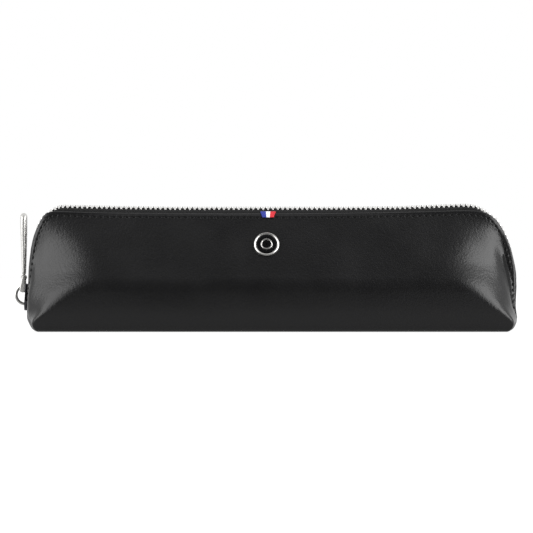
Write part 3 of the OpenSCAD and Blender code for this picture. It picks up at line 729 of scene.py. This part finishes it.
def stitch_places():
    """Where each stitch lies along the edge, with its long side along the seam."""
    run = np.arange(first_stitch, edge_run[-1] - 1.5, stitch_pitch)
    inset = np.full(len(run), stitch_inset)
    at, ahead = beside_edge(run, inset), beside_edge(run + 0.4, inset)
    spot = shaped(at[:, 0], at[:, 1], inset)
    along_it = shaped(ahead[:, 0], ahead[:, 1], inset) - spot
    out = facing(at[:, 0], at[:, 1])
    places = []
    for k in range(len(run)):
        x = along_it[k] / np.linalg.norm(along_it[k])
        z = out[k] - x * np.dot(out[k], x)
        z /= np.linalg.norm(z)
        places.append((spot[k], np.stack([x, np.cross(z, x), z], axis=1)))
    return places


stitches_front = strung("stitches_front", stitch, stitch_places())
bpy.data.objects.remove(stitch)
stitches_back = mirrored(stitches_front, "stitches_back")

# Waxed thread: black, slightly shiny, with a twist of 0.5 mm.
thread = new_finish("waxed_polyester_thread")
where = node(thread, "ShaderNodeTexCoord")
twist = node(thread, "ShaderNodeTexWave", wave_type="BANDS", bands_direction="DIAGONAL",
             Vector=where.outputs["Object"], Scale=wave / 0.0005)
twist_bump = node(thread, "ShaderNodeBump", Strength=0.5, Distance=0.0001, Height=twist.outputs["Fac"])
waxed = node(thread, "ShaderNodeBsdfPrincipled", Base_Color=linear("#030303"), Roughness=0.8, IOR=1.3,
             Normal=twist_bump.outputs[0])
give(thread, waxed)
for piece, wall in ((stitches_front, "front_wall"), (stitches_back, "back_wall")):
    piece.data.materials.append(thread)
    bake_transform(piece)


# ==== Lining and stiffener ========================================================
# The inside is lined with black cotton twill glued to the leather. A greyboard stiffener lies
# on the bottom under its own piece of twill, and keeps the bottom flat.
lining_mm, lining_depth, lining_margin, lining_points = 0.4, 1.95, 5.5, 180
lining_z = np.concatenate([np.linspace(6.9, 12, 8), np.linspace(13, 43.4, 26)])
lining_rows_mm = []
for z in lining_z:
    ends = [np.interp(z, heights, half_row[side]) - gap_mm - lining_margin for side in (-1, 1)]
    lining_rows_mm.append(np.linspace(-ends[0], ends[1], lining_points))
lining_m = np.array(lining_rows_mm)
lining_at = np.repeat(lining_z[:, None], lining_points, axis=1)
lining_front = lay("lining_front", on_side(lining_m, lining_at) - lining_depth * facing(lining_m, lining_at))
cloth_map(lining_front, 205, 40)
finish_with(lining_front, "SOLIDIFY", thickness=lining_mm / 1000, offset=0)
bpy.ops.object.shade_smooth_by_angle(angle=math.radians(50))
lining_back = mirrored(lining_front, "lining_back")

# Cotton twill: matt black, with slanting ribs 0.7 mm apart, which is as fine as shows.
twill = new_finish("cotton_twill_black")
cloth = node(twill, "ShaderNodeUVMap")
slant = node(twill, "ShaderNodeMapping", Vector=cloth.outputs[0], Rotation=(0, 0, math.radians(32)))
diagonal = node(twill, "ShaderNodeTexWave", wave_type="BANDS", bands_direction="X", Vector=slant.outputs[0],
                Scale=wave / 0.0007, Distortion=0.6, Detail=2.0)
twill_tone = node(twill, "ShaderNodeMix", data_type="RGBA", i0=diagonal.outputs["Fac"],
                  i6=linear("#121214"), i7=linear("#242427"))
twill_bump = node(twill, "ShaderNodeBump", Strength=0.5, Distance=0.00015, Height=diagonal.outputs["Fac"])
cotton = node(twill, "ShaderNodeBsdfPrincipled", Base_Color=twill_tone.outputs[2], Roughness=0.85,
              Normal=twill_bump.outputs[0])
give(twill, cotton)
for piece, wall, solid in ((lining_front, "front_wall", "front_lining"),
                           (lining_back, "back_wall", "back_lining")):
    piece.data.materials.append(twill)
    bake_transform(piece)
    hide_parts(solid)


def rounded_sheet(name, node_name, corner, edge_round):
    """A flat piece of the size of a CAD node, with round corners and softened edges, in metres."""
    low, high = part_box(node_name)
    bpy.ops.object.select_all(action="DESELECT")
    bpy.ops.mesh.primitive_cube_add(size=1)
    made = bpy.context.object
    made.name = made.data.name = name
    for point in made.data.vertices:
        point.co = [low[k] if point.co[k] < 0 else high[k] for k in range(3)]
    bpy.ops.object.mode_set(mode="EDIT")
    bpy.ops.mesh.select_mode(type="EDGE")
    bpy.ops.mesh.select_all(action="DESELECT")
    bpy.ops.object.mode_set(mode="OBJECT")
    for edge in made.data.edges:
        a, b = (made.data.vertices[k].co for k in edge.vertices)
        edge.select = abs(a.z - b.z) > 1e-5
    bpy.ops.object.mode_set(mode="EDIT")
    bpy.ops.mesh.bevel(offset=corner, segments=8)
    bpy.ops.mesh.select_mode(type="VERT")
    bpy.ops.object.mode_set(mode="OBJECT")
    finish_with(made, "BEVEL", width=edge_round, segments=2, limit_method="ANGLE",
                angle_limit=math.radians(40))
    return made


board = rounded_sheet("stiffener_board", "base_board", 0.003, 0.0003)

# Greyboard: pressed paper fibre, matt and mottled in brown and grey.
greyboard = new_finish("greyboard_pressed")
where = node(greyboard, "ShaderNodeTexCoord")
fibres = node(greyboard, "ShaderNodeTexNoise", Vector=where.outputs["Object"], Scale=1 / 0.0015, Detail=6.0)
board_tone = node(greyboard, "ShaderNodeMix", data_type="RGBA", i0=fibres.outputs["Fac"],
                  i6=linear("#57483a"), i7=linear("#7d6b55"))
pressed = node(greyboard, "ShaderNodeBsdfPrincipled", Base_Color=board_tone.outputs[2], Roughness=0.9)
give(greyboard, pressed)
board.data.materials.append(greyboard)
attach(board, "base")
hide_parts("base_board")

floor_lining = rounded_sheet("lining_floor", "base_lining", 0.003, 0.00015)
floor_lining.data.materials.append(twill)
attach(floor_lining, "base")
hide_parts("base_lining")


# ==== Badge =======================================================================
# A round badge, held through the leather by a pin and a washer: a polished rim, a dish of
# black lacquer, and a plain raised ring in its middle.
side_lean = math.radians(24.75)
wall_turn = mathutils.Matrix.Rotation(math.pi / 2 - side_lean, 4, "X")


def turned(name, profile):
    """A piece turned on the lathe from a profile of (radius, height) points in mm."""
    bpy.ops.object.select_all(action="DESELECT")
    bpy.ops.mesh.primitive_circle_add(vertices=64, radius=profile[0][0] / 1000,
                                      location=(0, 0, profile[0][1] / 1000))
    made = bpy.context.object
    made.name = made.data.name = name
    bpy.ops.object.transform_apply(location=True, rotation=True, scale=True)
    bpy.ops.object.mode_set(mode="EDIT")
    bpy.ops.mesh.select_all(action="SELECT")
    for (r0, z0), (r1, z1) in zip(profile, profile[1:]):
        bpy.ops.mesh.extrude_edges_move(TRANSFORM_OT_translate={"value": (0, 0, (z1 - z0) / 1000)})
        bpy.ops.transform.resize(value=(r1 / r0, r1 / r0, 1), center_override=(0, 0, 0))
    bpy.ops.mesh.select_all(action="SELECT")
    bpy.ops.mesh.remove_doubles(threshold=0.00001)
    bpy.ops.mesh.select_all(action="DESELECT")
    bpy.ops.mesh.select_non_manifold()
    bpy.ops.mesh.fill()
    bpy.ops.mesh.select_all(action="SELECT")
    bpy.ops.mesh.normals_make_consistent(inside=False)
    bpy.ops.object.mode_set(mode="OBJECT")
    bpy.ops.object.shade_smooth_by_angle(angle=math.radians(32))
    return made


def on_front_wall(piece, x_mm, y_mm, z_mm):
    """Puts a piece on the front side, with its own +Z pointing out of the leather."""
    moved = mathutils.Matrix.Translation((x_mm / 1000, y_mm / 1000, z_mm / 1000))
    piece.data.transform(moved @ wall_turn)


badge_x, badge_z = -2.0, 35.2
badge_y = -(gap_mm + (edge_mm - badge_z) * math.tan(side_lean))
rim = turned("badge_rim", [
    (4.2, 0.02), (5.16, 0.02), (5.2, 0.1), (5.2, 0.62), (5.13, 0.86), (4.98, 1.02), (4.78, 1.1), (4.56, 1.06),
    (4.38, 0.92), (4.28, 0.74), (4.24, 0.5), (4.2, 0.3)])
dish = turned("badge_lacquer", [
    (4.23, 0.32), (4.23, 0.62), (4.12, 0.7), (3.9, 0.72), (3.0, 0.70), (2.0, 0.685), (1.0, 0.68),
    (0.3, 0.68)])
ring = turned("badge_centre_ring", [
    (1.86, 0.66), (2.39, 0.66), (2.4, 0.8), (2.33, 0.91), (2.2, 0.97), (2.06, 0.97), (1.93, 0.91),
    (1.86, 0.8)])
washer = turned("badge_washer_plate", [
    (0.98, -1.68), (2.5, -1.68), (2.6, -1.6), (2.6, -1.44), (2.5, -1.36), (0.98, -1.36)])
for piece in (rim, dish, ring, washer):
    on_front_wall(piece, badge_x, badge_y, badge_z)
    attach(piece, "front_wall")

# Polished palladium plate: a clear mirror with a soft haze from the polishing.
mirror_plate = plated("palladium_plate_polished", "#cfcecb", patch_mm=4.0, detail=3.0,
                      smooth=0.15, rough=0.24)

# Black lacquer, rubbed to a gloss: smooth, with a faint orange-peel.
lacquer = new_finish("black_lacquer")
where = node(lacquer, "ShaderNodeTexCoord")
peel = node(lacquer, "ShaderNodeTexNoise", Vector=where.outputs["Object"], Scale=1 / 0.0011, Detail=1.0)
peel_bump = node(lacquer, "ShaderNodeBump", Strength=0.08, Distance=0.00004, Height=peel.outputs["Fac"])
glossy = node(lacquer, "ShaderNodeBsdfPrincipled", Base_Color=linear("#09090a"), Roughness=0.12, IOR=1.52,
              Normal=peel_bump.outputs[0])
give(lacquer, glossy)
rim.data.materials.append(mirror_plate)
ring.data.materials.append(mirror_plate)
washer.data.materials.append(nickel)
dish.data.materials.append(lacquer)
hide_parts("badge_bezel")
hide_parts("badge_disc")
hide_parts("badge_ring")
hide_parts("badge_washer")


# ==== Ribbon tab ==================================================================
# A short piece of woven ribbon, blue, white and red, folded over the leather's edge and sewn in
# with it. It is wider at the fold than at its lower end.
tab_mm, tab_x, tab_wide, tab_long = 0.45, -1.4, 6.4, 6.0
tab_path = [(-1.9, 0.30), (-1.5, 0.42), (-0.8, 0.44), (0.0, 0.42), (0.45, 0.3), (0.75, 0.02), (0.86, -0.4),
            (0.80, -0.85), (0.55, -1.25), (0.2, -1.5), (-0.4, -1.6)]
tab_rows = []
for up, out in tab_path:
    half = 2.3 + 0.9 * np.clip((up + 1.9) / 2.9, 0, 1)
    tab_rows.append([(x, up, out) for x in np.linspace(-half, half, 25)])
tab = lay("ribbon_flag_tab", np.array(tab_rows))
cloth_map(tab, tab_wide, tab_long)
finish_with(tab, "SOLIDIFY", thickness=tab_mm / 1000, offset=0)
finish_with(tab, "BEVEL", width=0.00008, segments=2, limit_method="ANGLE", angle_limit=math.radians(50))
on_front_wall(tab, tab_x, -gap_mm, edge_mm)

# Woven viscose ribbon: three plain stripes with a soft sheen, and fine ribs across.
stripe_ends = 0.355 * tab_wide / 1000, 0.645 * tab_wide / 1000
ribbon = new_finish("woven_ribbon_tricolour")
cloth = node(ribbon, "ShaderNodeUVMap")
apart = node(ribbon, "ShaderNodeSeparateXYZ", Vector=cloth.outputs[0])
first_part = node(ribbon, "ShaderNodeMath", operation="GREATER_THAN", i0=apart.outputs["X"],
                  i1=stripe_ends[0])
second_part = node(ribbon, "ShaderNodeMath", operation="GREATER_THAN", i0=apart.outputs["X"],
                   i1=stripe_ends[1])
blue_white = node(ribbon, "ShaderNodeMix", data_type="RGBA", i0=first_part.outputs[0],
                  i6=linear("#26348f"), i7=linear("#e9e9ec"))
three = node(ribbon, "ShaderNodeMix", data_type="RGBA", i0=second_part.outputs[0],
             i6=blue_white.outputs[2], i7=linear("#c8242f"))
ribs_over = node(ribbon, "ShaderNodeTexWave", wave_type="BANDS", bands_direction="Y", Vector=cloth.outputs[0],
                 Scale=wave / 0.0003, Distortion=0.3)
ribbon_bump = node(ribbon, "ShaderNodeBump", Strength=0.5, Distance=0.00008, Height=ribs_over.outputs["Fac"])
viscose = node(ribbon, "ShaderNodeBsdfPrincipled", Base_Color=three.outputs[2], Roughness=0.6,
               Normal=ribbon_bump.outputs[0])
give(ribbon, viscose)
tab.data.materials.append(ribbon)
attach(tab, "front_wall")
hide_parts("ribbon_tab")


# ==== Stops =======================================================================
# Crimped nickel clips keep the slider on the chain. Two at the left end each hold one tape, so
# that the zip opens there, and one at the right end holds both.
leather_ends = -0.0992, 0.0998


def clip(name, node_name, round_mm):
    """A bevelled clip of the size of a CAD node, kept within the leather's ends."""
    low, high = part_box(node_name)
    bpy.ops.object.select_all(action="DESELECT")
    bpy.ops.mesh.primitive_cube_add(size=1)
    made = bpy.context.object
    made.name = made.data.name = name
    for point in made.data.vertices:
        point.co = [low[k] if point.co[k] < 0 else high[k] for k in range(3)]
        point.co.x = min(max(point.co.x, leather_ends[0]), leather_ends[1])
    finish_with(made, "BEVEL", width=round_mm / 1000, segments=3, limit_method="NONE")
    bpy.ops.object.shade_smooth_by_angle(angle=math.radians(35))
    made.data.materials.append(nickel)
    return made


for name, node_name, wall in (("stop_front", "front_top_stop", "front_wall"),
                              ("stop_back", "back_top_stop", "back_wall")):
    stop = clip(name, node_name, 0.3)
    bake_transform(stop)
    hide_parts(node_name)
end_stop = clip("stop_end", "bottom_stop", 0.35)
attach(end_stop, "base")
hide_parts("bottom_stop")


# ==== Slider ======================================================================
# A die-cast zinc slider in black nickel: two plates on a wedge-shaped post, with side lips.
# Its bridge is a bright half ring, in which the pull's link hangs.
def smoothed_copy(node_name, name, round_mm):
    """A copy of a CAD node with its corners rounded."""
    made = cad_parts[node_name].copy()
    made.data = made.data.copy()
    made.name = made.data.name = name
    made.parent = None
    made.matrix_world = mathutils.Matrix.Identity(4)
    for group in list(made.users_collection):
        group.objects.unlink(made)
    bpy.context.scene.collection.objects.link(made)
    made.data.materials.clear()
    pick(made)
    bpy.ops.object.mode_set(mode="EDIT")
    bpy.ops.mesh.select_all(action="SELECT")
    bpy.ops.mesh.remove_doubles(threshold=0.000004)
    bpy.ops.mesh.dissolve_limited(angle_limit=math.radians(3))
    bpy.ops.object.mode_set(mode="OBJECT")
    finish_with(made, "BEVEL", width=round_mm / 1000, segments=3, limit_method="ANGLE",
                angle_limit=math.radians(40))
    bpy.ops.object.shade_smooth_by_angle(angle=math.radians(40))
    return made


slider = smoothed_copy("slider_body", "slider_plates", 0.3)

# Black nickel plate on cast zinc: a dark mirror, slightly uneven from the casting.
black_nickel = plated("black_nickel_plate", "#4c4c50", patch_mm=1.5, detail=2.0, smooth=0.14, rough=0.24)
slider.data.materials.append(black_nickel)
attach(slider, "slider")
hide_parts("slider_body")


def section(across, up, power, count=32):
    """A closed outline of count steps, from an ellipse at a power of 2 to nearly a box at 8."""
    angle = np.linspace(0, 2 * math.pi, count + 1)
    c, s = np.cos(angle), np.sin(angle)
    return across * np.sign(c) * np.abs(c) ** (2 / power), up * np.sign(s) * np.abs(s) ** (2 / power)


bridge_x, bridge_z, bridge_mid = -100.85, 14.85, 3.75
arch_rings = []
for bend_at in np.radians(np.linspace(86, 274, 41)):
    thick, wide = section(0.62, 1.05, 3)
    arch_rings.append(np.stack([
        bridge_x + (bridge_mid + thick) * math.cos(bend_at), wide,
        bridge_z + (bridge_mid + thick) * math.sin(bend_at)], axis=1))
arch = tube("slider_arch", arch_rings)
arch.data.materials.append(mirror_plate)
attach(arch, "slider")
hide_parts("slider_bridge")


# ==== Link ========================================================================
# A teardrop link of two stamped cheeks on two pins. The lower pin hangs in the bridge, and the
# upper one goes through the eye of the pull.
pin_low, pin_high, pin_radius = (-101.834, 16.990), (-101.398, 21.971), 0.48
cheek_in, cheek_out, drop_points, pin_points = 1.72, 2.6, 48, 24
lean_of_link = math.atan2(pin_high[0] - pin_low[0], pin_high[1] - pin_low[1])
drop_outline = []
for k in range(drop_points):
    way = 2 * math.pi * k / drop_points
    centre, radius = (pin_low, 1.24) if math.cos(way - lean_of_link) < 0.1 else (pin_high, 0.66)
    drop_outline.append((centre[0] + radius * math.sin(way), centre[1] + radius * math.cos(way)))
drop_mid = np.mean(drop_outline, axis=0)
cheeks = []
for side in (-1, 1):
    rings = []
    for depth, shrink in ((cheek_in, 0.5), (cheek_in, 0.86), (cheek_in + 0.08, 0.95), (cheek_in + 0.22, 1.0),
                          (cheek_out - 0.3, 1.0), (cheek_out - 0.14, 0.95), (cheek_out - 0.04, 0.84),
                          (cheek_out, 0.6)):
        ring = drop_mid + (np.array(drop_outline + drop_outline[:1]) - drop_mid) * shrink
        rings.append(np.stack([ring[:, 0], np.full(drop_points + 1, side * depth), ring[:, 1]], axis=1))
    cheeks.append(tube("cheek", rings))
pins = []
for x, z in (pin_low, pin_high):
    rings = []
    for y in (-cheek_out + 0.3, cheek_out - 0.3):
        angle = np.linspace(0, 2 * math.pi, pin_points + 1)
        rings.append(np.stack([x + pin_radius * np.cos(angle), np.full(pin_points + 1, y),
                               z + pin_radius * np.sin(angle)], axis=1))
    pins.append(tube("pin", rings))
link = join("pull_shackle", cheeks + pins)

# Satin palladium plate: fine brushing blurs what it mirrors to a soft, pale grey.
satin_plate = plated("palladium_plate_satin", "#d0cfcc", patch_mm=0.9, detail=3.0, smooth=0.36, rough=0.44)
link.data.materials.append(satin_plate)
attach(link, "link")
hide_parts("pull_link")


# ==== Pull bar ====================================================================
# A long satin bar with rounded edges, which grows wider and thicker towards its rounded end and
# narrows to an eye at its foot. It is cast in one piece and hangs on the link's upper pin.
bar_x, bar_z = pin_high
bar_long, tip_mm, eye_radius = 26.4, 3.2, 0.84
bar_rings = []
for up in np.concatenate([[0.95, 1.0, 1.1, 1.3, 1.7, 2.2], np.linspace(3, 22, 20),
                          bar_long - tip_mm * (1 - np.sin(np.linspace(0.1, math.pi / 2 - 0.08, 16)))]):
    share = np.clip((up - 1.2) / (21 - 1.2), 0, 1)
    half_thick = 0.76 + 0.66 * share ** 0.9
    half_wide = 2.1 + 0.7 * share
    neck = min(1.0, 0.55 + 0.45 * ease((up - 0.9) / 0.9))
    top = (up - (bar_long - tip_mm)) / tip_mm
    round_end = math.sqrt(max(0.0, 1 - max(0.0, top) ** 2))
    thick_end = math.sqrt(max(0.0, 1 - max(0.0, (top - 0.45) / 0.55) ** 2))
    thick, wide = section(half_thick * neck * thick_end, half_wide * neck * round_end, 2.8)
    bar_rings.append(np.stack([bar_x + thick - 0.1 * share, wide, np.full(len(wide), bar_z + up)], axis=1))
eye_rings = []
for angle in np.linspace(0, 2 * math.pi, 33):
    thick, wide = section(0.3, 1.52, 4, 20)
    eye_rings.append(np.stack([bar_x + (eye_radius + thick) * math.cos(angle), wide,
                               bar_z + (eye_radius + thick) * math.sin(angle)], axis=1))
bar = join("pull_grip", [tube("shaft", bar_rings), tube("eye", eye_rings)])
bar.data.materials.append(satin_plate)
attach(bar, "pull")
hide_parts("pull_bar")


# ==== Table, light and camera =====================================================
# A white table and background, a big soft box at each side, and a dark room behind the
# camera, which keeps the middle of the black leather dark.
table_white = new_finish("white_table")
path = node(table_white, "ShaderNodeLightPath")
table_paint = node(table_white, "ShaderNodeBsdfDiffuse", Color=linear("#e6e6e6"))
# The table glows as a painted reflection that shows only in the leather and the metal: bright at both
# sides and under the case, and darker in front, where the camera stands.
place = node(table_white, "ShaderNodeTexCoord")
apart = node(table_white, "ShaderNodeSeparateXYZ", Vector=place.outputs["Object"])
more_right = node(table_white, "ShaderNodeMath", operation="ADD", i0=apart.outputs["X"], i1=0.02)
aside = node(table_white, "ShaderNodeMath", operation="ABSOLUTE", i0=more_right.outputs[0])
at_sides = node(table_white, "ShaderNodeMapRange", interpolation_type="SMOOTHSTEP",
                i0=aside.outputs[0], i1=0.115, i2=0.19, i3=0.0, i4=0.9)
close_by = node(table_white, "ShaderNodeMapRange", interpolation_type="SMOOTHSTEP",
                i0=apart.outputs["Y"], i1=-0.14, i2=-0.01, i3=0.02, i4=0.42)
painted_reflection_glow = node(table_white, "ShaderNodeMath", operation="ADD", i0=at_sides.outputs[0], i1=close_by.outputs[0])
seen_white = node(table_white, "ShaderNodeMath", operation="MULTIPLY",
                  i0=path.outputs["Is Camera Ray"], i1=1.1)
glow = node(table_white, "ShaderNodeMath", operation="MAXIMUM", i0=seen_white.outputs[0], i1=painted_reflection_glow.outputs[0])
# Emission: the plain white backdrop for camera rays, and the painted reflection glow for glossy and
# transmission rays.
table_glow = node(table_white, "ShaderNodeEmission", Color=linear("#ffffff"), Strength=glow.outputs[0])
seen = node(table_white, "ShaderNodeMath", operation="MULTIPLY", i0=path.outputs["Is Camera Ray"], i1=0.84)
mirrored_in = node(table_white, "ShaderNodeMath", operation="ADD", i0=path.outputs["Is Glossy Ray"],
                   i1=path.outputs["Is Transmission Ray"])
in_all = node(table_white, "ShaderNodeMath", operation="MULTIPLY_ADD", i0=mirrored_in.outputs[0], i1=0.8,
              i2=seen.outputs[0])
table_mix = node(table_white, "ShaderNodeMixShader", i0=in_all.outputs[0],
                 i1=table_paint.outputs[0], i2=table_glow.outputs[0])
give(table_white, table_mix)

bpy.ops.object.select_all(action="DESELECT")
bpy.ops.mesh.primitive_plane_add(size=8, location=(0, 0, -0.0003))
table = bpy.context.object
table.name = "table"
table.data.materials.append(table_white)

room = bpy.data.worlds.new("studio")
bpy.context.scene.world = room
room.use_nodes = True
room.node_tree.nodes.clear()
path = node(room, "ShaderNodeLightPath")
way = node(room, "ShaderNodeTexCoord")
apart = node(room, "ShaderNodeSeparateXYZ", Vector=way.outputs["Generated"])
sideways = node(room, "ShaderNodeMath", operation="ABSOLUTE", i0=apart.outputs["X"])
upward = node(room, "ShaderNodeMath", operation="MULTIPLY_ADD", i0=apart.outputs["Z"], i1=0.12,
              i2=apart.outputs["Y"])
round_us = node(room, "ShaderNodeMath", operation="MULTIPLY_ADD", i0=sideways.outputs[0], i1=0.9,
                i2=upward.outputs[0])
behind = node(room, "ShaderNodeMapRange", interpolation_type="SMOOTHSTEP",
              i0=round_us.outputs[0], i1=-0.62, i2=0.25, i3=0.03, i4=1.0)
whole = node(room, "ShaderNodeMath", operation="MAXIMUM",
             i0=path.outputs["Is Camera Ray"], i1=behind.outputs[0])
sky = node(room, "ShaderNodeBackground", Color=linear("#ffffff"), Strength=whole.outputs[0])
node(room, "ShaderNodeOutputWorld", Surface=sky.outputs[0])


def soft_box(name, place, size, watts):
    """A large flat lamp that faces the middle of the table, level with itself."""
    lamp = bpy.data.lights.new(name, "AREA")
    lamp.shape, lamp.size, lamp.size_y, lamp.energy = "RECTANGLE", size[0], size[1], watts
    made = bpy.data.objects.new(name, lamp)
    bpy.context.scene.collection.objects.link(made)
    made.location = place
    aim = mathutils.Vector((-place[0], -place[1], 0))
    made.rotation_euler = aim.to_track_quat("-Z", "Y").to_euler()


soft_box("left_box", (-1.0, -0.72, 0.65), (1.0, 1.3), 11.5)
soft_box("right_box", (1.0, -0.72, 0.65), (1.0, 1.3), 17.0)

camera_lens = bpy.data.cameras.new("camera")
camera_lens.lens = 164.8
camera_lens.sensor_width = 36
camera = bpy.data.objects.new("camera", camera_lens)
bpy.context.scene.collection.objects.link(camera)
camera.location = (-0.00205, -1.0, 0.0264)
camera.rotation_euler = (math.radians(90), 0, 0)
bpy.context.scene.camera = camera
bpy.context.scene.view_settings.view_transform = "Standard"
